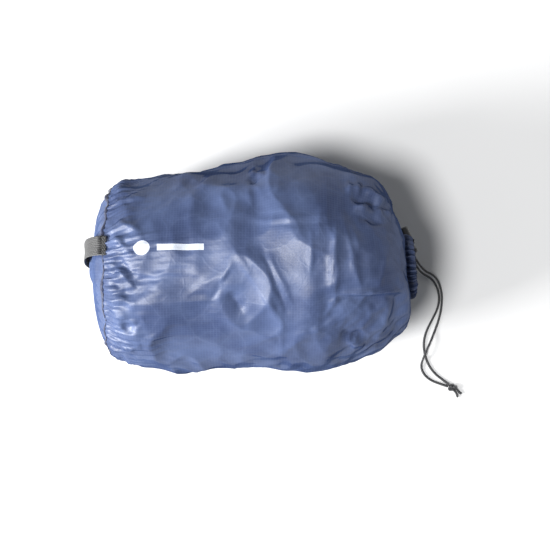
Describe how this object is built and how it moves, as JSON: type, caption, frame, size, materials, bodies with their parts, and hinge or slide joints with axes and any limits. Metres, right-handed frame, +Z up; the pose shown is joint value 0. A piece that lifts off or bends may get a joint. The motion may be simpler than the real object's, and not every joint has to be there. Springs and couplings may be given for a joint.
{
  "type": "drawcord stuff sack",
  "caption": "Stuffed ripstop sack lying on its side: domed base with a webbing grab handle, gathered mouth with a drawcord, a cord lock and a knotted end.",
  "frame": {"origin": "centre of the sack's box, on the floor under it; the free drawcord isn't counted", "axes": "+X along the sack from the base to the mouth, +Z up, +Y across the sack"},
  "size_m": [0.4269, 0.2775, 0.2231],
  "materials": {
    "ripstop": "blue ripstop nylon with a low sheen",
    "load_cloth": "soft dark lining cloth of the packed contents",
    "binding_tape": "dull navy binding tape",
    "navy_thread": "navy sewing thread",
    "webbing": "black woven webbing, ribbed",
    "black_thread": "black sewing thread",
    "cord": "black braided cord",
    "lock_plastic": "black moulded plastic, satin",
    "spring_steel": "plain spring steel"
  },
  "bodies": {
    "sack": {"body_panel": "ripstop", "base_panel": "ripstop", "side_seam": "ripstop", "hem_channel": "ripstop", "base_seam_binding": "binding_tape", "packed_load": "load_cloth", "base_seam_stitching": "navy_thread", "hem_stitching": "navy_thread", "cord_exit_bartacks": "navy_thread", "handle_end_lower": "webbing", "handle_end_upper": "webbing", "handle_bartacks": "black_thread", "drawcord_loop": "cord", "drawcord_strand_outer": "cord", "drawcord_strand_inner": "cord", "cord_knot": "cord", "cord_tails": "cord"},
    "handle": {"grab_handle": "webbing"},
    "cord_lock": {"cord_lock_barrel": "lock_plastic", "cord_lock_spring": "spring_steel"},
    "lock_plunger": {"cord_lock_plunger": "lock_plastic"}
  },
  "joints": [
    {"name": "handle_swing", "type": "hinge", "parent": "sack", "child": "handle", "pos_m": [-0.158, 0.007, 0.1112], "axis": [0, 0.1167, 0.9932], "range_deg": [-15, 15]},
    {"name": "cord_lock_slide", "type": "slide", "parent": "sack", "child": "cord_lock", "axis": [0, 0, -1], "range_m": [0, 0.01]},
    {"name": "plunger_press", "type": "slide", "parent": "cord_lock", "child": "lock_plunger", "axis": [-0.4305, 0.9026, 0], "range_m": [0, 0.0045], "stiffness_N_per_m": 1000, "springref_m": -0.002, "deforming": ["cord_lock_spring"]}
  ]
}
